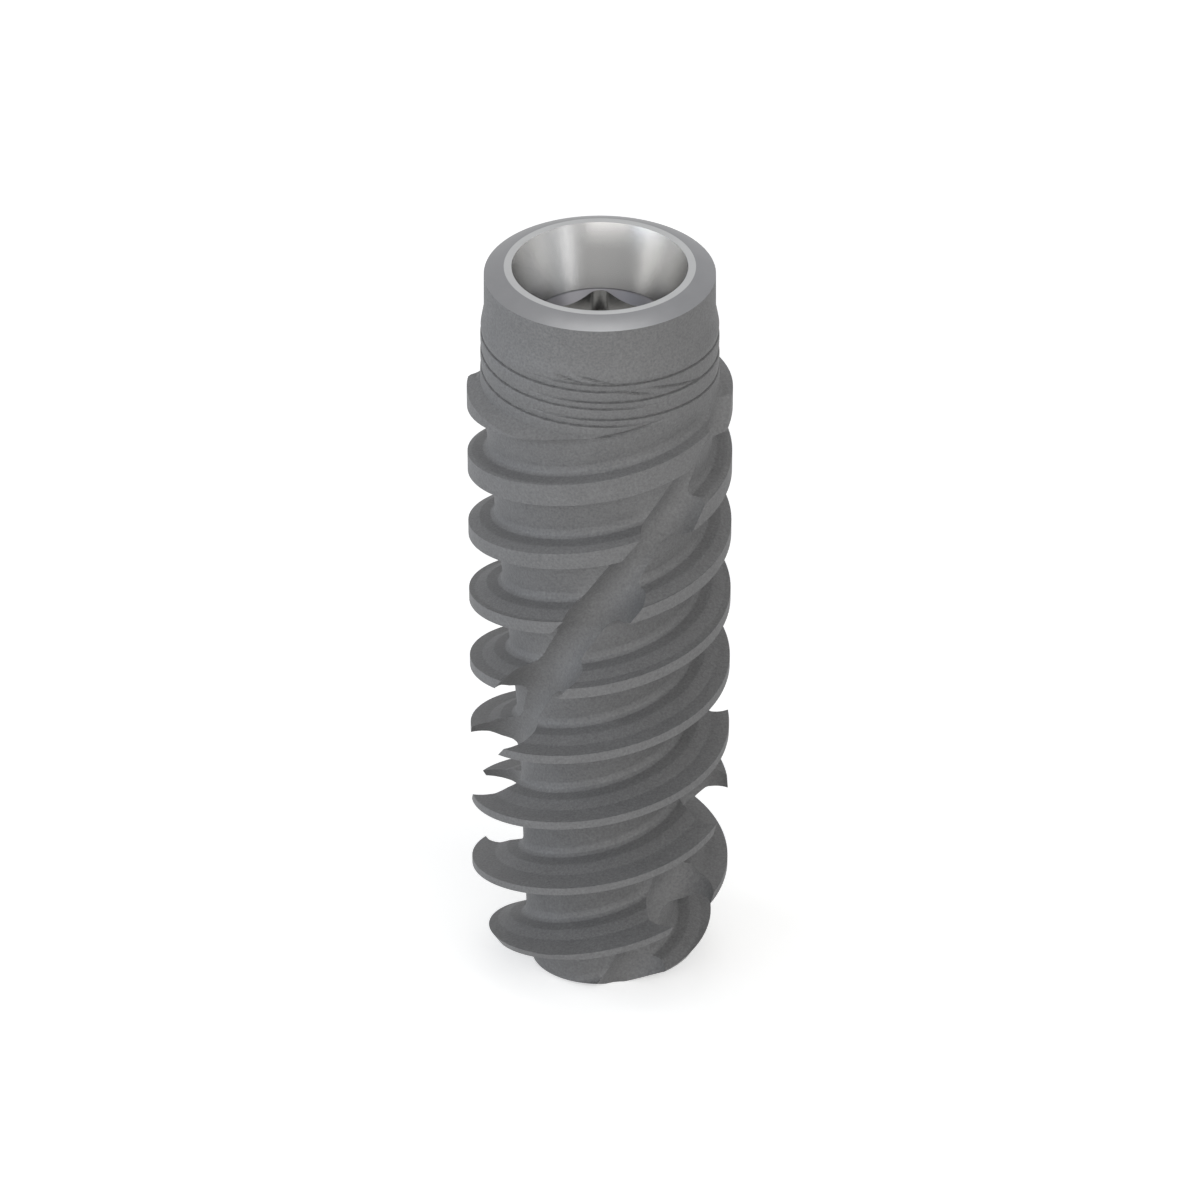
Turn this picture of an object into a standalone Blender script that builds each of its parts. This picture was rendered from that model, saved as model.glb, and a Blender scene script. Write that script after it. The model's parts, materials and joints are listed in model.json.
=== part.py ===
"""Dental implant with an inner cone and hexagon, cut from one bar of titanium.

Metres, +Z from the apex to the platform, origin in the middle of the flat apex face. The body is made in the
order in which the real one is cut: a turned blank, a thread groove run twice round it half a turn apart,
which leaves a double ridge, two long flutes milled across the ridges, the faced and bevelled platform, and
the bore with its cone, hexagon and screw hole.
"""

import math

import bmesh
import bpy
import numpy as np

MM = 0.001

# Turned blank
overall_length = 12.82 * MM
collar_radius = 1.879 * MM          # plain band below the platform
collar_length = 0.76 * MM
land_radius = 1.937 * MM            # slightly fuller band below the collar
land_blend = 0.3 * MM               # height of the cone from the collar out to the land
land_end = 2.07 * MM                # where the land ends, measured down from the platform
shoulder_length = 0.16 * MM         # steep cone from the land out to the thread
crest_radius = 2.154 * MM           # thread crest at the shoulder
crest_taper = math.radians(0.59)    # the crests draw in towards the apex
apex_radius = 1.0 * MM              # flat end face
nose_radius = 1.56 * MM             # blunt cone from the end face out to this radius
nose_height = 0.32 * MM
nose_slope = math.radians(34.2)     # cone from there out to the crests, from the axis

# Thread, right-handed
thread_pitch = 1.2385 * MM
thread_starts = 2
ridge_height = 0.541 * MM           # a ridge crosses the +X side at this height
core_apex_radius = 1.088 * MM
core_tip_radius = 1.176 * MM
core_tip_height = 0.686 * MM        # end of the short cone at the apex
core_waist_radius = 1.339 * MM
core_waist_height = 4.67 * MM       # the core opens out faster above this
runout_depth = 1.95 * MM            # the groove floor meets the land this far below the platform

# Section of a ridge: half its thickness, at heights above the core
root_half = 0.4 * MM
fillet_half = 0.3 * MM
fillet_height = 0.03 * MM
step_half = 0.252 * MM
step_height = 0.09 * MM
brow_half = 0.218 * MM
brow_height = 0.273 * MM
lip_half = 0.1205 * MM
lip_height = 0.47 * MM
lip_slope = math.radians(9.4)       # the thin outer part of the ridge, from the level

# Cutting flutes
flute_count = 2
flute_lead = 16.13 * MM
flute_angle = math.radians(-75.57)  # direction of the first flute at the apex face
flute_radius = 0.553 * MM           # the cut is round, and closes a little towards the crests
flute_floor_apex = 0.968 * MM       # distance of the flute's floor from the axis at the apex face
flute_floor_low = 1.195 * MM
flute_low_height = 2.5 * MM
flute_floor_high = 1.428 * MM
flute_high_height = 7.5 * MM
flute_floor_exit = 1.601 * MM
flute_exit_height = 9.0 * MM
flute_exit_slope = math.radians(11.8)  # the cutter draws outwards above that

# Platform and bore
platform_radius = 1.555 * MM
bevel_height = 0.135 * MM
mouth_radius = 1.431 * MM
cone_taper = math.radians(11.5)
cone_depth = 1.02 * MM
seat_slope = math.radians(25.0)     # shallow cone at the foot of the inner cone
seat_fillet = 0.12 * MM
hexagon_sides = 6
hexagon_flats = 2.05 * MM           # across the flats
hexagon_corner = 0.35 * MM          # radius of the rounded corners
hexagon_depth = 2.35 * MM           # floor of the hexagon, below the platform
screw_radius = 0.78 * MM            # core of the screw hole
screw_depth = 6.4 * MM
drill_point = math.radians(59.0)    # half angle of the hole's conical end

# Facets
turn_steps = 36                     # round the turned and threaded surfaces
flute_facets = 16
flute_step = 0.4 * MM
corner_steps = 3
stock = 0.4 * MM                    # how far cutters reach past what they cut
merge_distance = 0.001 * MM
round_bevel = 0.5                   # bevel profile that gives a circular arc

lead = thread_pitch * thread_starts
runout_height = overall_length - runout_depth
shoulder_top = overall_length - land_end
shoulder_foot = shoulder_top - shoulder_length


def clear_scene():
    for obj in list(bpy.data.objects):
        bpy.data.objects.remove(obj, do_unlink=True)


def new_collection(name):
    collection = bpy.data.collections.new(name)
    bpy.context.scene.collection.children.link(collection)
    return collection


def new_material(name, colour, roughness):
    material = bpy.data.materials.new(name)
    material.use_nodes = True
    shader = material.node_tree.nodes["Principled BSDF"]
    shader.inputs["Base Color"].default_value = (*colour, 1.0)
    shader.inputs["Metallic"].default_value = 1.0
    shader.inputs["Roughness"].default_value = roughness
    return material


def new_object(name, mesh, collection, material):
    obj = bpy.data.objects.new(name, mesh)
    collection.objects.link(obj)
    if not mesh.materials:
        mesh.materials.append(material)
    return obj


def turned(name, profile, collection, material):
    """Solid of revolution. The profile holds (radius, height) points, and runs down the outside from axis to axis."""
    mesh = bpy.data.meshes.new(name)
    points = [(radius, 0.0, height) for radius, height in profile]
    mesh.from_pydata(points, [(i, i + 1) for i in range(len(points) - 1)], [])
    obj = new_object(name, mesh, collection, material)
    screw = obj.modifiers.new("Turn", "SCREW")
    screw.axis = "Z"
    screw.angle = 2 * math.pi
    screw.steps = screw.render_steps = turn_steps
    screw.use_merge_vertices = True
    screw.merge_threshold = merge_distance
    screw.use_smooth_shade = True
    return obj


def swept(name, rings, collection, material):
    """Closed solid through a row of rings, an array of rings by points by (x, y, z)."""
    count, around = rings.shape[:2]
    index = np.arange(count * around).reshape(count, around)
    after = np.roll(index, -1, axis=1)
    sides = np.stack([index[:-1], after[:-1], after[1:], index[1:]], axis=-1).reshape(-1, 4)
    mesh = bpy.data.meshes.new(name)
    mesh.from_pydata(rings.reshape(-1, 3).tolist(), [], sides.tolist() + [index[0].tolist(), index[-1].tolist()])
    shape = bmesh.new()
    shape.from_mesh(mesh)
    bmesh.ops.recalc_face_normals(shape, faces=shape.faces)
    shape.to_mesh(mesh)
    shape.free()
    return new_object(name, mesh, collection, material)


def blank_profile():
    """Outside of the turned bar, down from the platform end."""
    taper, slope = math.tan(crest_taper), math.tan(nose_slope)
    crest_foot = (crest_radius - nose_radius - shoulder_foot * taper + nose_height * slope) / (slope - taper)
    top = overall_length + stock
    return [
        (0.0, top),
        (collar_radius, top),
        (collar_radius, overall_length - collar_length),
        (land_radius, overall_length - collar_length - land_blend),
        (land_radius, shoulder_top),
        (crest_radius, shoulder_foot),
        (nose_radius + (crest_foot - nose_height) * slope, crest_foot),
        (nose_radius, nose_height),
        (apex_radius, 0.0),
        (0.0, 0.0),
    ]


def along(height, heights, radii):
    """Radius at a height, on straight lines through the given points, the end lines continued."""
    first = (radii[1] - radii[0]) / (heights[1] - heights[0])
    last = (radii[-1] - radii[-2]) / (heights[-1] - heights[-2])
    radius = np.interp(height, heights, radii)
    radius = radius + first * np.minimum(height - heights[0], 0.0)
    return radius + last * np.maximum(height - heights[-1], 0.0)


def core_radius(height):
    heights = (0.0, core_tip_height, core_waist_height, runout_height)
    return along(height, heights, (core_apex_radius, core_tip_radius, core_waist_radius, land_radius))


def flute_floor(height):
    end_floor = flute_floor_exit + (overall_length - flute_exit_height) * math.tan(flute_exit_slope)
    heights = (0.0, flute_low_height, flute_high_height, flute_exit_height, overall_length)
    floors = (flute_floor_apex, flute_floor_low, flute_floor_high, flute_floor_exit, end_floor)
    return along(height, heights, floors)


def groove_section():
    """The groove between two ridges, as (offset along the axis, height above the core), from foot to head."""
    reach = crest_radius - core_apex_radius
    tip_half = lip_half - (reach - lip_height) * math.tan(lip_slope)
    halves = np.array([root_half, fillet_half, step_half, brow_half, lip_half, tip_half])
    heights = np.array([0.0, fillet_height, step_height, brow_height, lip_height, reach])
    head = np.stack([thread_pitch / 2 - halves, heights], axis=1)
    foot = head[::-1] * (-1.0, 1.0)
    return np.concatenate([foot, head])


def groove_rings():
    """The section carried up its helix, with its floor on the core, from below the apex to the run-out."""
    section = groove_section()
    first = -thread_pitch / 2 - stock / 2
    last = runout_height + thread_pitch / 2
    step = lead / turn_steps
    phase = ridge_height + thread_pitch / 2
    turns = np.arange(math.floor((first - phase) / step), math.ceil((last - phase) / step) + 1) + 0.5
    angle = turns[:, None] * 2 * math.pi / turn_steps
    height = phase + turns[:, None] * step + section[:, 0]
    radius = core_radius(height) + section[:, 1]
    return np.stack([radius * np.cos(angle), radius * np.sin(angle), height], axis=-1)


def flute_section():
    """A circle, as (distance out from its floor, sideways)."""
    around = np.arange(flute_facets) * 2 * math.pi / flute_facets
    return np.stack([1.0 - np.cos(around), np.sin(around)], axis=1) * flute_radius


def flute_rings():
    """The circle, level, carried up a steep helix."""
    section = flute_section()
    height = np.arange(-stock, overall_length - collar_length, flute_step)[:, None]
    turn = flute_angle + 2 * math.pi * height / flute_lead
    out = flute_floor(height) + section[:, 0]
    side = section[:, 1]
    x = out * np.cos(turn) - side * np.sin(turn)
    y = out * np.sin(turn) + side * np.cos(turn)
    return np.stack([x, y, height + 0.0 * x], axis=-1)


def facing_profile():
    """Cutter that faces the platform and bevels its edge."""
    bevel_slope = (collar_radius - platform_radius) / bevel_height
    reach = collar_radius + stock
    return [
        (0.0, overall_length + 2 * stock),
        (reach, overall_length + 2 * stock),
        (reach, overall_length - (reach - platform_radius) / bevel_slope),
        (platform_radius, overall_length),
        (0.0, overall_length),
    ]


def bore_profile():
    """Inner cone, fillet, seat and screw hole, down from above the platform."""
    foot_radius = mouth_radius - cone_depth * math.tan(cone_taper)
    foot_height = overall_length - cone_depth
    turn = math.pi / 2 - cone_taper - seat_slope
    centre_radius = foot_radius - seat_fillet * math.cos(cone_taper)
    centre_height = foot_height + seat_fillet * math.sin(cone_taper)
    fillet = [
        (
            centre_radius + seat_fillet * math.cos(cone_taper + turn * i / corner_steps),
            centre_height - seat_fillet * math.sin(cone_taper + turn * i / corner_steps),
        )
        for i in range(corner_steps + 1)
    ]
    seat_radius, seat_height = fillet[-1]
    seat_foot = seat_height - (seat_radius - screw_radius) * math.tan(seat_slope)
    drill_start = overall_length - screw_depth
    return [
        (0.0, overall_length + stock),
        (mouth_radius + stock * math.tan(cone_taper), overall_length + stock),
        *fillet,
        (screw_radius, seat_foot),
        (screw_radius, drill_start),
        (0.0, drill_start - screw_radius / math.tan(drill_point)),
    ]


def hexagon_cutter(collection, material):
    """Prism with rounded corners, one of them towards +Y, from the foot of the cone down."""
    half_angle = math.pi / hexagon_sides
    corner = hexagon_flats / 2 / math.cos(half_angle)
    head = overall_length - cone_depth / 2
    foot = overall_length - hexagon_depth
    shape = bmesh.new()
    bmesh.ops.create_cone(
        shape, cap_ends=True, segments=hexagon_sides, radius1=corner, radius2=corner, depth=head - foot
    )
    upright = [edge for edge in shape.edges if abs(edge.verts[0].co.z - edge.verts[1].co.z) > stock / 2]
    bmesh.ops.bevel(
        shape,
        geom=upright,
        offset=hexagon_corner * math.tan(half_angle),
        segments=2 * corner_steps,
        profile=round_bevel,
        affect="EDGES",
    )
    bmesh.ops.translate(shape, verts=shape.verts, vec=(0.0, 0.0, (head + foot) / 2))
    mesh = bpy.data.meshes.new("hexagon_cutter")
    shape.to_mesh(mesh)
    shape.free()
    return new_object("hexagon_cutter", mesh, collection, material)


def copies(obj, count, collection):
    """The object and its copies, spread evenly round the axis on one mesh."""
    found = [obj]
    for k in range(1, count):
        other = bpy.data.objects.new(f"{obj.name}_{k + 1}", obj.data)
        other.rotation_euler.z = 2 * math.pi * k / count
        collection.objects.link(other)
        found.append(other)
    return found


def cut(body, cutters):
    """Takes every cutter in the collection away from the body at once."""
    for cutter in cutters.objects:
        cutter.hide_render = True
        cutter.display_type = "WIRE"
    boolean = body.modifiers.new("Machine", "BOOLEAN")
    boolean.operation = "DIFFERENCE"
    boolean.solver = "EXACT"
    boolean.material_mode = "TRANSFER"
    boolean.operand_type = "COLLECTION"
    boolean.collection = cutters


def build():
    clear_scene()
    implant = new_collection("dental_implant")
    cutters = new_collection("cutters")
    blasted = new_material("blasted_titanium", (0.2, 0.2, 0.205), 0.6)
    machined = new_material("machined_titanium", (0.45, 0.45, 0.46), 0.3)

    body = turned("implant_body", blank_profile(), implant, blasted)
    copies(swept("thread_groove", groove_rings(), cutters, blasted), thread_starts, cutters)
    copies(swept("flute", flute_rings(), cutters, blasted), flute_count, cutters)
    turned("platform_facing", facing_profile(), cutters, machined)
    turned("bore", bore_profile(), cutters, machined)
    hexagon_cutter(cutters, machined)
    cut(body, cutters)


build()
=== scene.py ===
"""A dental implant of titanium, shaped in the order in which the real one is cut.

Metres, +Z up. The implant stands on its apex, with its axis on Z and its platform at the top.
"""

import json
import math

import bmesh
import bpy
import numpy as np
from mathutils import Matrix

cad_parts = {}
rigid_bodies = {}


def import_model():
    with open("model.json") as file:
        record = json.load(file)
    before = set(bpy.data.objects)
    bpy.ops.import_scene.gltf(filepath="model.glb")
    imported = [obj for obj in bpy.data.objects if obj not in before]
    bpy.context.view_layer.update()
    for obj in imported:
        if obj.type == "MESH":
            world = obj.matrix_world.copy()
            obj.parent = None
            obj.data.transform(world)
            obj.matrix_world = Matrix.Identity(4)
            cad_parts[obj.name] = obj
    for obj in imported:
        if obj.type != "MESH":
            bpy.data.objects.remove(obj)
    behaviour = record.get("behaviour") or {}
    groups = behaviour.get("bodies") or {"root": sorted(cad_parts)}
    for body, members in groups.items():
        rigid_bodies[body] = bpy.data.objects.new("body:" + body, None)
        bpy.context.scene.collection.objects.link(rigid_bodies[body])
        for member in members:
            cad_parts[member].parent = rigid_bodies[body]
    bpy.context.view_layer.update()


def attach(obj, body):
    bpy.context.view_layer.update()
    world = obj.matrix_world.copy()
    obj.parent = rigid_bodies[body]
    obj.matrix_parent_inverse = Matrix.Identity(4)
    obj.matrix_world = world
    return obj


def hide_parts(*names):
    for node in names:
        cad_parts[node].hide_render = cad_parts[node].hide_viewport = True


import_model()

MM = 0.001


# Titanium skins. The outside is blasted with grit and oxidized, matt and grey, and its tone is darkened at the
# dents' bottoms, painted shade. The platform is faced afterwards and has a soft sheen. Its bevel (formed) and
# the chamfer in the socket (reamed) are darkened copies of the metal, painted shade; the cone is bright, and
# the hexagon (broached) is a brightened copy, painted light. All are one metal, so they share the patchiness.

def node(tree, kind, **settings):
    """A node of that kind, with the settings given as attributes."""
    made = tree.nodes.new(kind)
    for key, value in settings.items():
        setattr(made, key, value)
    return made


def noise(tree, coordinates, scale, detail, roughness=0.5):
    """Noise of about 1 / scale in grain size, 0 to 1."""
    made = node(tree, "ShaderNodeTexNoise")
    made.inputs["Scale"].default_value = scale
    made.inputs["Detail"].default_value = detail
    made.inputs["Roughness"].default_value = roughness
    tree.links.new(coordinates, made.inputs["Vector"])
    return made


def patchiness_group():
    """Soft patches of tone, as handling and anodic film leave on titanium."""
    group = bpy.data.node_groups.new("patchiness", "ShaderNodeTree")
    group.interface.new_socket("Patch Size", in_out="INPUT", socket_type="NodeSocketFloat")
    group.interface.new_socket("Patch", in_out="OUTPUT", socket_type="NodeSocketFloat")
    start = node(group, "NodeGroupInput")
    end = node(group, "NodeGroupOutput")
    place = node(group, "ShaderNodeTexCoord")
    scale = node(group, "ShaderNodeMath", operation="DIVIDE")
    scale.inputs[0].default_value = 1.0
    group.links.new(start.outputs["Patch Size"], scale.inputs[1])
    cloud = noise(group, place.outputs["Object"], 1.0, detail=3.0, roughness=0.6)
    group.links.new(scale.outputs[0], cloud.inputs["Scale"])
    group.links.new(cloud.outputs["Fac"], end.inputs["Patch"])
    return group


patchiness = patchiness_group()
blasted_light = (0.262, 0.262, 0.264, 1.0)
# The dark tone is reached at the dents' bottoms as well as in patches: painted shade in the dents, and random
# tone.
blasted_dark_and_dent_shade = (0.070, 0.070, 0.072, 1.0)
blasted_roughness = 0.7
blasted_metal = 0.5                 # the rest is matt oxide
grit_size = 0.04 * MM               # width of the dents that the grit leaves
grit_depth = 0.0055 * MM
# The grit's share in the tone makes the dents darker where they are deep: painted shade.
grit_tone_and_dent_shade = 0.85                    # share of the grit in the tone, the rest is patches
blasted_patch = 0.5 * MM            # width of a patch
faced_light = (0.46, 0.465, 0.47, 1.0)
faced_dark = (0.42, 0.424, 0.43, 1.0)
faced_roughness = 0.3
# The bevel's tones are darkened well below the faced platform's, though both are turned: painted shade.
formed_shaded_light = (0.255, 0.257, 0.266, 1.0)
formed_shaded_dark = (0.225, 0.227, 0.236, 1.0)
formed_roughness = 0.32
# The chamfer's tones are darkened far below the rest of the socket's metal: painted shade.
reamed_shaded_light = (0.135, 0.133, 0.142, 1.0)
reamed_shaded_dark = (0.115, 0.113, 0.122, 1.0)
reamed_roughness = 0.34
bored_light = (0.560, 0.558, 0.555, 1.0)
bored_dark = (0.520, 0.518, 0.515, 1.0)
bored_roughness = 0.25
# The hexagon's tones are brightened above what the metal reflects elsewhere: painted light.
broached_lit_light = (0.68, 0.678, 0.672, 1.0)
broached_lit_dark = (0.64, 0.638, 0.632, 1.0)
broached_roughness = 0.15
turned_patch = 0.3 * MM
turning_pitch = 0.022 * MM          # spacing of the fine rings that the tool leaves
turning_depth = 0.00025 * MM


def bare_metal(name, roughness):
    """A material of plain metal. Returns it with its node tree and its shader."""
    material = bpy.data.materials.new(name)
    material.use_nodes = True
    tree = material.node_tree
    shader = tree.nodes["Principled BSDF"]
    shader.inputs["Metallic"].default_value = 1.0
    shader.inputs["Roughness"].default_value = roughness
    return material, tree, shader


def patches(tree, size):
    """The shared patchiness at that size, 0 to 1."""
    made = node(tree, "ShaderNodeGroup", node_tree=patchiness)
    made.inputs["Patch Size"].default_value = size
    return made.outputs["Patch"]


def tone(tree, shader, share, dark, light):
    """Colours the metal from the dark tone where the share is 0 to the light one where it is 1."""
    made = node(tree, "ShaderNodeMix", data_type="RGBA")
    made.inputs["A"].default_value = dark
    made.inputs["B"].default_value = light
    tree.links.new(share, made.inputs["Factor"])
    tree.links.new(made.outputs["Result"], shader.inputs["Base Color"])


def bump(tree, shader, height, depth):
    """Dents the surface by a height of 0 to 1 times the depth."""
    made = node(tree, "ShaderNodeBump")
    made.inputs["Distance"].default_value = depth
    tree.links.new(height, made.inputs["Height"])
    tree.links.new(made.outputs["Normal"], shader.inputs["Normal"])


def blasted_titanium():
    """The grit leaves dents. The colour follows the same noise as the dents, darker at their bottom than on
    their rims: painted shade in the dents over random grain tone. Soft patches lie over them.
    """
    material, tree, shader = bare_metal("blasted_titanium", blasted_roughness)
    shader.inputs["Metallic"].default_value = blasted_metal
    place = node(tree, "ShaderNodeTexCoord")
    grit = noise(tree, place.outputs["Object"], 1.0 / grit_size, detail=4.0, roughness=0.65)
    # Mixes the patches with the grit, so the dents' bottoms come out darker: painted shade in the dents.
    both = node(tree, "ShaderNodeMix")
    both.inputs["Factor"].default_value = grit_tone_and_dent_shade
    tree.links.new(patches(tree, blasted_patch), both.inputs["A"])
    tree.links.new(grit.outputs["Fac"], both.inputs["B"])
    tone(tree, shader, both.outputs["Result"], blasted_dark_and_dent_shade, blasted_light)
    bump(tree, shader, grit.outputs["Fac"], grit_depth)
    return material


def turned_titanium(name, dark, light, roughness):
    """The tool's rings follow radius plus height, so they circle flat faces, cones and bores alike."""
    material, tree, shader = bare_metal(name, roughness)
    tone(tree, shader, patches(tree, turned_patch), dark, light)
    place = node(tree, "ShaderNodeTexCoord")
    split = node(tree, "ShaderNodeSeparateXYZ")
    flat = node(tree, "ShaderNodeCombineXYZ")
    radius = node(tree, "ShaderNodeVectorMath", operation="LENGTH")
    travel = node(tree, "ShaderNodeMath", operation="ADD")
    turns = node(tree, "ShaderNodeCombineXYZ")
    tree.links.new(place.outputs["Object"], split.inputs[0])
    tree.links.new(split.outputs["X"], flat.inputs["X"])
    tree.links.new(split.outputs["Y"], flat.inputs["Y"])
    tree.links.new(flat.outputs[0], radius.inputs[0])
    tree.links.new(radius.outputs["Value"], travel.inputs[0])
    tree.links.new(split.outputs["Z"], travel.inputs[1])
    tree.links.new(travel.outputs[0], turns.inputs["X"])
    rings = noise(tree, turns.outputs[0], 1.0 / turning_pitch, detail=2.0)
    bump(tree, shader, rings.outputs["Fac"], turning_depth)
    return material


blasted = blasted_titanium()
faced = turned_titanium("faced_titanium", faced_dark, faced_light, faced_roughness)
formed_shaded = turned_titanium("formed_titanium_shaded", formed_shaded_dark, formed_shaded_light, formed_roughness)
reamed_shaded = turned_titanium("reamed_titanium_shaded", reamed_shaded_dark, reamed_shaded_light, reamed_roughness)
bored = turned_titanium("bored_titanium", bored_dark, bored_light, bored_roughness)
broached_lit = turned_titanium("broached_titanium_lit", broached_lit_dark, broached_lit_light, broached_roughness)


# Turned bar. A rod of titanium alloy turned to the outside of the implant: a plain collar, a fuller land with
# fine grooves, a short shoulder, the slightly tapering outside of the thread, and a blunt nose. It is left a
# little long at the platform, which is faced later.

overall_length = 12.82 * MM
collar_radius = 1.879 * MM
collar_length = 0.76 * MM
land_radius = 1.937 * MM
land_blend = 0.3 * MM
land_end = 2.07 * MM                # measured down from the platform
shoulder_length = 0.16 * MM
crest_radius = 2.154 * MM
crest_taper = math.radians(0.59)
apex_radius = 1.0 * MM
nose_radius = 1.56 * MM             # where the blunt end cone meets the next one
nose_height = 0.32 * MM
nose_slope = math.radians(34.2)
stock = 0.4 * MM                    # how far cutters reach past what they cut
turn_steps = 160
front_turn = 90.0                   # degrees from the front to the +X side, where the rings start

shoulder_top = overall_length - land_end
shoulder_foot = shoulder_top - shoulder_length
taper, slope = math.tan(crest_taper), math.tan(nose_slope)
crest_foot = (crest_radius - nose_radius - shoulder_foot * taper + nose_height * slope) / (slope - taper)
bar_heights = np.array([0.0, nose_height, crest_foot, shoulder_foot, shoulder_top,
                        overall_length - collar_length - land_blend, overall_length - collar_length,
                        overall_length + stock])
crest_foot_radius = nose_radius + (crest_foot - nose_height) * slope
bar_radii = np.array([apex_radius, nose_radius, crest_foot_radius, crest_radius, land_radius, land_radius,
                      collar_radius, collar_radius])

groove_pitch = 0.322 * MM           # from one fine groove to the next of its set
groove_fall = 0.322 * MM            # how much a groove sinks in one turn to the right
groove_depth = 0.045 * MM
groove_half = 0.015 * MM            # half width at half depth
groove_wall = 0.016 * MM            # height over which a side falls
groove_draw = 0.024 * MM            # how far the skin above the groove is drawn in
groove_draw_width = 0.08 * MM
groove_edge = 0.010 * MM            # and the edge below it
groove_edge_width = 0.03 * MM
groove_zone = (10.55 * MM, 11.99 * MM)
groove_row = 0.0072 * MM            # spacing of the rows of points in that zone
groove_sets = [                     # height at the front, rings, and the angles between which they are cut
    (11.58 * MM, 3, -215.0, 20.0),
    (11.705 * MM, 3, -25.0, 175.0),
]
groove_fade = 46.0                  # degrees over which a groove runs out
stroke_reach = 0.8                  # share of a stroke's half span at which it has half its depth left
stroke_fade = 0.6                   # share of that span over which an end runs out
strokes = [                         # short ones: angle and height at the middle, half span, fall in one turn
    (-1.0, 11.775 * MM, 10.0, 3.1 * MM),
    (-14.0, 11.770 * MM, 9.0, 3.1 * MM),
    (18.0, 11.505 * MM, 10.0, 3.1 * MM),
    (42.0, 11.445 * MM, 19.0, 2.6 * MM),
    (4.0, 10.753 * MM, 30.0, -2.17 * MM),
]


def smooth_step(share):
    """0 below 0, 1 above 1, and 3 s^2 - 2 s^3 between."""
    share = np.clip(share, 0.0, 1.0)
    return share ** 2 * (3 - 2 * share)


def away_from(angle, middle):
    """The angle counted from the middle, in degrees, -180 to 180."""
    return (angle - middle + 180.0) % 360.0 - 180.0


def fine_grooves(angle, height):
    """Depth of the fine grooves: each is a slot with smooth sides along a line that sinks slowly to the right
    and fades at its two ends. Beside it the skin is drawn in by reach exp(-away / width), further above than
    below. The angle counts from the front, rightwards, in degrees."""
    depth = np.zeros(np.broadcast(angle, height).shape)

    def notch(middle, line, half_span, fade):
        away = height - line
        slot = groove_depth * smooth_step((groove_half - np.abs(away)) / groove_wall + 0.5)
        draw = groove_draw * np.exp(-np.maximum(away, 0.0) / groove_draw_width) * (away > 0)
        edge = groove_edge * np.exp(np.minimum(away, 0.0) / groove_edge_width) * (away <= 0)
        end = smooth_step((half_span - np.abs(away_from(angle, middle))) / fade + 0.5)
        return np.maximum(slot, draw + edge) * end

    for top, rings, first, last in groove_sets:
        middle = (first + last) / 2
        unrolled = middle + away_from(angle, middle)
        for k in range(rings):
            line = top - k * groove_pitch - groove_fall * unrolled / 360.0
            depth = np.maximum(depth, notch(middle, line, (last - first) / 2, groove_fade))
    for middle, level, half_span, fall in strokes:
        line = level - fall * away_from(angle, middle) / 360.0
        depth = np.maximum(depth, notch(middle, line, half_span * stroke_reach, half_span * stroke_fade))
    return depth


def solid(name, rings, material):
    """Closed skin with two flat ends through a row of rings, an array of rings by points by (x, y, z)."""
    count, around = rings.shape[:2]
    index = np.arange(count * around).reshape(count, around)
    after = np.roll(index, -1, axis=1)
    sides = np.stack([index[:-1], after[:-1], after[1:], index[1:]], axis=-1).reshape(-1, 4)
    mesh = bpy.data.meshes.new(name)
    faces = sides.tolist() + [index[0].tolist(), index[-1].tolist()]
    mesh.from_pydata(rings.reshape(-1, 3).tolist(), [], faces)
    shape = bmesh.new()
    shape.from_mesh(mesh)
    bmesh.ops.recalc_face_normals(shape, faces=shape.faces)
    shape.to_mesh(mesh)
    shape.free()
    mesh.materials.append(material)
    made = bpy.data.objects.new(name, mesh)
    bpy.context.scene.collection.objects.link(made)
    return made


def turned_rings(radius, height, shift=0.0):
    """Rows carried round the axis: x = radius cos a, y = radius sin a. The shift is a share of one facet."""
    angle = (np.arange(turn_steps) + shift) * 2 * math.pi / turn_steps
    radius = np.asarray(radius, float).reshape(len(radius), -1)
    height = np.asarray(height, float).reshape(len(height), -1)
    return np.stack([radius * np.cos(angle), radius * np.sin(angle), height + 0.0 * angle], axis=-1)


def turned_bar():
    """Outside radius at each height on straight lines between the corners, less the fine grooves."""
    fine = np.arange(*groove_zone, groove_row)
    height = np.unique(np.concatenate([bar_heights, fine]))
    degrees = np.arange(turn_steps) * 360.0 / turn_steps + front_turn
    radius = np.interp(height, bar_heights, bar_radii)[:, None] - fine_grooves(degrees, height[:, None])
    return solid("implant", turned_rings(radius, height), blasted)


implant = turned_bar()


# Double thread. A single groove of this section is cut along a helix, then again from half a turn on, so that
# two ridges climb side by side. Its floor follows a core that opens out towards the platform, until it runs out
# in the land. Each ridge stands on a fillet, narrows over a step and a brow, and ends in a thin lip.

thread_pitch = 1.2385 * MM
thread_starts = 2
lead = thread_pitch * thread_starts
ridge_height = 0.541 * MM           # a ridge crosses the +X side at this height
core_apex_radius = 1.088 * MM
core_tip_radius = 1.176 * MM
core_tip_height = 0.686 * MM
core_waist_radius = 1.339 * MM
core_waist_height = 4.67 * MM
runout_end = 1.95 * MM              # measured down from the platform
runout_height = overall_length - runout_end
ridge_halves = np.array([0.4, 0.3, 0.252, 0.218, 0.1205]) * MM      # half thickness of a ridge
ridge_heights = np.array([0.0, 0.03, 0.09, 0.273, 0.47]) * MM       # at these heights above the core
lip_slope = math.radians(9.4)
corner_reach = 0.016 * MM           # corners of the section are rounded over this length on both sides
corner_pieces = 2
corner_share = 0.45                 # of a side, which a rounded corner takes at most
half_facet = 0.5                    # shift of cutters, so that none of their edges runs along one of the bar

cutters = bpy.data.collections.new("cutters")


def as_cutter(made):
    """Puts the solid with the cutters that shape the bar."""
    bpy.context.scene.collection.objects.unlink(made)
    cutters.objects.link(made)
    return made


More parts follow.
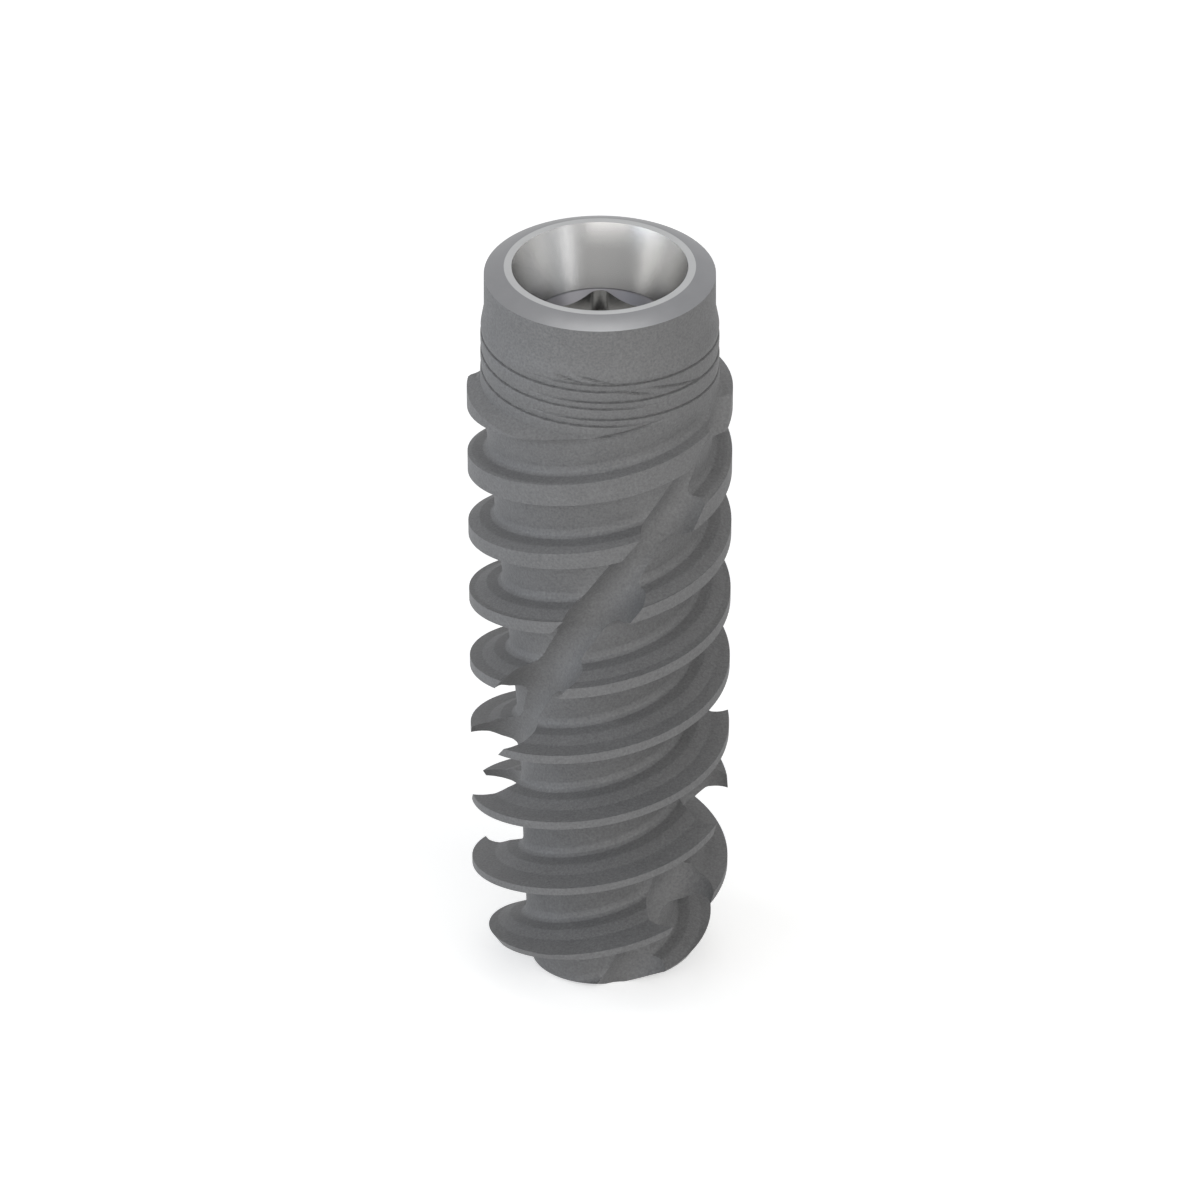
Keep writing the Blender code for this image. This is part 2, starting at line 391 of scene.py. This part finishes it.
def along(height, heights, radii):
    """Radius at a height, on straight lines through the given points, the end lines continued."""
    heights, radii = np.asarray(heights), np.asarray(radii)
    slopes = np.diff(radii) / np.diff(heights)
    radius = np.interp(height, heights, radii)
    radius = radius + slopes[0] * np.minimum(height - heights[0], 0.0)
    return radius + slopes[-1] * np.maximum(height - heights[-1], 0.0)


def core_radius(height):
    heights = (0.0, core_tip_height, core_waist_height, runout_height)
    return along(height, heights, (core_apex_radius, core_tip_radius, core_waist_radius, land_radius))


def rounded(points, reach, pieces):
    """Each inner corner of a line of points becomes a parabola that touches its two sides at that reach."""
    points = np.asarray(points, float)
    corner = points[1:-1]

    def towards(other):
        side = other - corner
        return corner + side * np.minimum(reach / np.linalg.norm(side, axis=1, keepdims=True), corner_share)

    start, stop = towards(points[:-2]), towards(points[2:])
    t = np.linspace(0.0, 1.0, pieces + 1)[None, :, None]
    curve = (1 - t) ** 2 * start[:, None] + 2 * t * (1 - t) * corner[:, None] + t ** 2 * stop[:, None]
    return np.concatenate([points[:1], curve.reshape(-1, points.shape[1]), points[-1:]])


def thread_groove():
    """The gap between two ridges carried up its helix: height = phase + lead a / 2 pi + offset, and radius =
    core at that height + section."""
    reach = crest_radius - core_apex_radius
    tip_half = ridge_halves[-1] - (reach - ridge_heights[-1]) * math.tan(lip_slope)
    gap_halves = thread_pitch / 2 - np.append(ridge_halves, tip_half)
    head = np.stack([gap_halves, np.append(ridge_heights, reach)], axis=1)
    section = rounded(np.concatenate([head[::-1] * (-1.0, 1.0), head]), corner_reach, corner_pieces)
    step = lead / turn_steps
    phase = ridge_height + thread_pitch / 2
    first = math.floor((-thread_pitch / 2 - stock / 2 - phase) / step)
    last = math.ceil((runout_height + thread_pitch / 2 - phase) / step)
    turns = np.arange(first, last + 1)[:, None] + half_facet
    angle = turns * 2 * math.pi / turn_steps
    height = phase + turns * step + section[:, 0]
    radius = core_radius(height) + section[:, 1]
    return np.stack([radius * np.cos(angle), radius * np.sin(angle), height], axis=-1)


def about_axis(rings, turn):
    """The rings turned about the implant's axis."""
    x, y, z = np.moveaxis(rings, -1, 0)
    cosine, sine = math.cos(turn), math.sin(turn)
    return np.stack([x * cosine - y * sine, x * sine + y * cosine, z], axis=-1)


for start in range(thread_starts):
    turn = 2 * math.pi * start / thread_starts
    as_cutter(solid(f"thread_groove_{start + 1}", about_axis(thread_groove(), turn), blasted))


# Cutting flutes. Two round channels milled across the ridges on a steep helix. They leave sharp, slightly
# hooked teeth beside each channel, which cut the implant's own way into the bone, and run out below the collar.

flute_count = 2
flute_lead = 16.13 * MM
flute_angle = math.radians(-75.57)  # direction of the first flute at the apex
flute_radius = 0.553 * MM
flute_heights = np.array([0.0, 2.5, 7.5, 9.0]) * MM
flute_floors = np.array([0.968, 1.195, 1.428, 1.601]) * MM          # distance of the floor from the axis
flute_exit_slope = math.radians(11.8)
flute_facets = 48
flute_step = 0.12 * MM


def flute():
    """A level circle carried up a steep helix: out = floor + r (1 - cos b) and side = r sin b."""
    around = np.arange(flute_facets) * 2 * math.pi / flute_facets
    section = np.stack([1.0 - np.cos(around), np.sin(around)], axis=1) * flute_radius
    exit_radius = flute_floors[-1] + (overall_length - flute_heights[-1]) * math.tan(flute_exit_slope)
    height = np.arange(-stock, overall_length - collar_length, flute_step)[:, None]
    turn = flute_angle + 2 * math.pi * height / flute_lead
    floor_at = along(height, np.append(flute_heights, overall_length), np.append(flute_floors, exit_radius))
    out, side = floor_at + section[:, 0], section[:, 1]
    x = out * np.cos(turn) - side * np.sin(turn)
    y = out * np.sin(turn) + side * np.cos(turn)
    return np.stack([x, y, height + 0.0 * x], axis=-1)


for k in range(flute_count):
    as_cutter(solid(f"flute_{k + 1}", about_axis(flute(), 2 * math.pi * k / flute_count), blasted))


# Platform. The end is faced flat on the lathe and its edge is bevelled with a form tool. Both are cut after the
# blasting, so they stay free of grit.

platform_radius = 1.555 * MM
bevel_height = 0.135 * MM


def refinish(made, first, last, material):
    """Gives the faces between the first and the last of these rings another finish."""
    mesh = made.data
    mesh.materials.append(material)
    index = np.zeros(len(mesh.polygons), np.int32)
    index[first * turn_steps:last * turn_steps] = 1
    mesh.polygons.foreach_set("material_index", index)


bevel_slope = (collar_radius - platform_radius) / bevel_height
facing_reach = collar_radius + stock
facing_foot = overall_length - (facing_reach - platform_radius) / bevel_slope
facing = turned_rings(
    [facing_reach, facing_reach, platform_radius],
    [overall_length + 2 * stock, facing_foot, overall_length],
    half_facet,
)
facing_cutter = as_cutter(solid("platform_facing", facing, faced))
# The bevel gets the darkened copy of the metal: painted shade.
refinish(facing_cutter, 1, 2, formed_shaded)


# Socket. The abutment sits in a cone, which ends in a rounded corner and a chamfer. A blind hole for its screw
# goes on below, bored and then tapped.

mouth_radius = 1.431 * MM
cone_taper = math.radians(15.1)
cone_depth = 1.06 * MM
seat_slope = math.radians(53.0)     # of the chamfer, from the level
seat_fillet = 0.1 * MM
fillet_pieces = 8
screw_radius = 0.78 * MM
screw_depth = 6.4 * MM
drill_point = math.radians(59.0)
drill_tip = 0.02 * MM

fillet_angle = cone_taper + np.linspace(0.0, math.pi / 2 - cone_taper - seat_slope, fillet_pieces + 1)
cone_foot = mouth_radius - cone_depth * math.tan(cone_taper)
fillet_radius = cone_foot + seat_fillet * (np.cos(fillet_angle) - math.cos(cone_taper))
fillet_height = overall_length - cone_depth - seat_fillet * (np.sin(fillet_angle) - math.sin(cone_taper))
seat_foot = fillet_height[-1] - (fillet_radius[-1] - screw_radius) * math.tan(seat_slope)
drill_start = overall_length - screw_depth
drill_end = drill_start - (screw_radius - drill_tip) / math.tan(drill_point)
bore = turned_rings(
    [mouth_radius + stock * math.tan(cone_taper), *fillet_radius, screw_radius, screw_radius, drill_tip],
    [overall_length + stock, *fillet_height, seat_foot, drill_start, drill_end],
    half_facet,
)
bore_cutter = as_cutter(solid("bore", bore, bored))
# The rounded corner and the chamfer get the darkened copy of the metal: painted shade.
refinish(bore_cutter, 1, fillet_pieces + 2, reamed_shaded)

screw_pitch = 0.4 * MM
screw_thread_depth = 0.2 * MM
screw_thread_flat = 0.05 * MM       # width of the groove's bottom
screw_thread_flank = math.radians(30.0)
screw_thread_top = 2.5 * MM         # below the platform
screw_thread_foot = 0.01 * MM       # how far the cutter stands in front of the wall
screw_steps = 48
screw_shift = 0.2                   # share of a facet, which keeps its edges off those of the hole


def screw_thread():
    """A groove with sides at 60 degrees to each other, carried up the hole's wall on a helix."""
    reach = screw_thread_depth + screw_thread_foot
    half = screw_thread_flat / 2 + reach * math.tan(screw_thread_flank)
    section = np.array([(-screw_thread_foot, -half), (screw_thread_depth, -screw_thread_flat / 2),
                        (screw_thread_depth, screw_thread_flat / 2), (-screw_thread_foot, half)])
    first = drill_start + 2 * screw_pitch
    rise = overall_length - screw_thread_top - first
    turns = np.arange(0.0, rise / screw_pitch, 1 / screw_steps)[:, None]
    angle = (turns + screw_shift / turn_steps) * 2 * math.pi
    radius = screw_radius + section[:, 0]
    height = first + turns * screw_pitch + section[:, 1]
    return np.stack([radius * np.cos(angle), radius * np.sin(angle), height], axis=-1)


as_cutter(solid("screw_thread", screw_thread(), bored))


# Hexagon. Broached below the chamfer, with rounded corners. The driver turns the implant by it, and the
# abutment's foot keeps its direction in it.

hexagon_sides = 6
hexagon_flats = 2.05 * MM
hexagon_corner = 0.35 * MM
hexagon_depth = 2.35 * MM
hexagon_pieces = 8


def hexagon():
    """Six arcs joined by straight flats, one corner towards +Y, in two level rings."""
    half = math.pi / hexagon_sides
    corner = math.pi / 2 + 2 * half * np.arange(hexagon_sides)[:, None]
    sweep = corner + np.linspace(-half, half, hexagon_pieces + 1)
    centre = (hexagon_flats / 2 - hexagon_corner) / math.cos(half)
    x = (centre * np.cos(corner) + hexagon_corner * np.cos(sweep)).ravel()
    y = (centre * np.sin(corner) + hexagon_corner * np.sin(sweep)).ravel()
    levels = np.array([overall_length - cone_depth / 2, overall_length - hexagon_depth])[:, None]
    return np.stack([x + 0 * levels, y + 0 * levels, levels + 0 * x], axis=-1)


# The hexagon gets the brightened copy of the metal: painted light.
as_cutter(solid("hexagon", hexagon(), broached_lit))


# Finished body. All the cuts are taken from the bar, which leaves one closed piece of metal with the finish of
# each cut on it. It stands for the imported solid.

sharp_angle = math.radians(28.0)


def machine(piece):
    """Takes the cutters from the piece and keeps the result as its mesh."""
    cut = piece.modifiers.new("machining", "BOOLEAN")
    cut.operation = "DIFFERENCE"
    cut.solver = "MANIFOLD"
    cut.material_mode = "TRANSFER"
    cut.operand_type = "COLLECTION"
    cut.collection = cutters
    shaped = piece.evaluated_get(bpy.context.evaluated_depsgraph_get())
    mesh = bpy.data.meshes.new_from_object(shaped)
    piece.modifiers.clear()
    piece.data = mesh
    for cutter in list(cutters.objects):
        bpy.data.objects.remove(cutter)
    bpy.data.collections.remove(cutters)
    mesh.shade_smooth()
    mesh.set_sharp_from_angle(angle=sharp_angle)


bpy.context.scene.collection.children.link(cutters)
machine(implant)
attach(implant, "root")
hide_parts("implant_body")


# Studio. A white floor, a pale room and soft lamps. The camera looks down 30 degrees without perspective.

floor_radius = 500 * MM
floor_facets = 96
floor_white = 0.9
floor_lift = 0.45                   # glow of the floor where it is seen, which makes it white there
room_level = 0.3                    # light of the room on matt surfaces, where 1 is white
softbox_distance = 200 * MM


def seen_directly(tree):
    """1 for the camera and for what metal or glass shows, 0 for light that falls on matt surfaces."""
    path = node(tree, "ShaderNodeLightPath")
    first = node(tree, "ShaderNodeMath", operation="MAXIMUM")
    second = node(tree, "ShaderNodeMath", operation="MAXIMUM")
    tree.links.new(path.outputs["Is Camera Ray"], first.inputs[0])
    tree.links.new(path.outputs["Is Glossy Ray"], first.inputs[1])
    tree.links.new(first.outputs[0], second.inputs[0])
    tree.links.new(path.outputs["Is Transmission Ray"], second.inputs[1])
    return second.outputs[0]


def studio_floor():
    shape = bmesh.new()
    bmesh.ops.create_circle(shape, cap_ends=True, segments=floor_facets, radius=floor_radius)
    mesh = bpy.data.meshes.new("floor")
    shape.to_mesh(mesh)
    shape.free()
    floor = bpy.data.objects.new("floor", mesh)
    bpy.context.scene.collection.objects.link(floor)
    material = bpy.data.materials.new("white_floor")
    material.use_nodes = True
    tree = material.node_tree
    shader = tree.nodes["Principled BSDF"]
    shader.inputs["Base Color"].default_value = (floor_white, floor_white, floor_white, 1.0)
    shader.inputs["Roughness"].default_value = 1.0
    shader.inputs["Specular IOR Level"].default_value = 0.0
    shader.inputs["Emission Color"].default_value = (1.0, 1.0, 1.0, 1.0)
    lift = node(tree, "ShaderNodeMath", operation="MULTIPLY")
    lift.inputs[1].default_value = floor_lift
    tree.links.new(seen_directly(tree), lift.inputs[0])
    tree.links.new(lift.outputs[0], shader.inputs["Emission Strength"])
    mesh.materials.append(material)
    return floor


def studio_room():
    world = bpy.data.worlds.new("room")
    bpy.context.scene.world = world
    world.use_nodes = True
    tree = world.node_tree
    background = tree.nodes["Background"]
    level = node(tree, "ShaderNodeMapRange")
    level.inputs["To Min"].default_value = room_level
    level.inputs["To Max"].default_value = 1.0
    tree.links.new(seen_directly(tree), level.inputs["Value"])
    tree.links.new(level.outputs["Result"], background.inputs["Strength"])
    background.inputs["Color"].default_value = (1.0, 1.0, 1.0, 1.0)


def softbox(name, azimuth, elevation, width, height, level, colour):
    """A lamp aimed at the implant's middle. Its level is the brightness of its face, where 1 is white. Azimuth
    0 is the camera's side and 90 the right."""
    turn, rise = math.radians(azimuth), math.radians(elevation)
    back = np.array([math.sin(turn) * math.cos(rise), -math.cos(turn) * math.cos(rise), math.sin(rise)])
    lamp = bpy.data.lights.new(name, "AREA")
    lamp.shape = "RECTANGLE"
    lamp.size = width
    lamp.size_y = height
    lamp.energy = level * math.pi * width * height
    lamp.color = colour
    holder = bpy.data.objects.new(name, lamp)
    holder.location = back * softbox_distance + (0.0, 0.0, overall_length / 2)
    holder.rotation_euler = (math.pi / 2 - rise, 0.0, turn)
    bpy.context.scene.collection.objects.link(holder)


studio_floor()
studio_room()
softboxes = [                       # azimuth and elevation, width and height in mm, level, colour
    ("front_left_softbox", -20.0, 31.0, 130, 80, 1.5, (1.0, 1.0, 1.0)),
    ("front_right_softbox", 14.0, 31.0, 120, 80, 2.5, (1.0, 0.99, 0.96)),
    ("front_low_strip", -10.0, 6.0, 200, 36, 1.7, (1.0, 0.98, 0.95)),
    ("left_softbox", -56.0, 38.0, 120, 80, 0.8, (0.82, 0.90, 1.0)),
    ("left_low_strip", -62.0, 8.0, 140, 50, 3.5, (0.84, 0.91, 1.0)),
    ("far_left_low_strip", -98.0, 8.0, 100, 50, 1.5, (0.60, 0.77, 1.0)),
    ("far_left_softbox", -95.0, 26.0, 60, 60, 4.8, (0.98, 0.99, 1.0)),
    ("right_low_softbox", 49.0, 22.0, 48, 60, 3.2, (1.0, 0.99, 0.95)),
    ("right_softbox", 50.0, 38.0, 100, 80, 1.8, (1.0, 1.0, 0.99)),
    ("top_softbox", 180.0, 80.0, 100, 100, 1.4, (1.0, 1.0, 0.96)),
]
for name, azimuth, elevation, width, height, level, colour in softboxes:
    softbox(name, azimuth, elevation, width * MM, height * MM, level, colour)

camera_elevation = math.radians(30.0)
camera_distance = 100 * MM
frame_width = 19.402 * MM           # what the picture's side spans
frame_middle = 6.591 * MM           # height on the axis that the picture's middle shows
frame_side = 0.002 * MM             # and how far to the right of the axis it is
clip_near, clip_far = 1 * MM, 1000 * MM

camera = bpy.data.objects.new("camera", bpy.data.cameras.new("camera"))
camera.data.type = "ORTHO"
camera.data.ortho_scale = frame_width
camera.data.clip_start = clip_near
camera.data.clip_end = clip_far
camera.location = (
    frame_side,
    -camera_distance * math.cos(camera_elevation),
    frame_middle + camera_distance * math.sin(camera_elevation),
)
camera.rotation_euler = (math.pi / 2 - camera_elevation, 0.0, 0.0)
bpy.context.scene.collection.objects.link(camera)
bpy.context.scene.camera = camera
bpy.context.scene.view_settings.view_transform = "Standard"
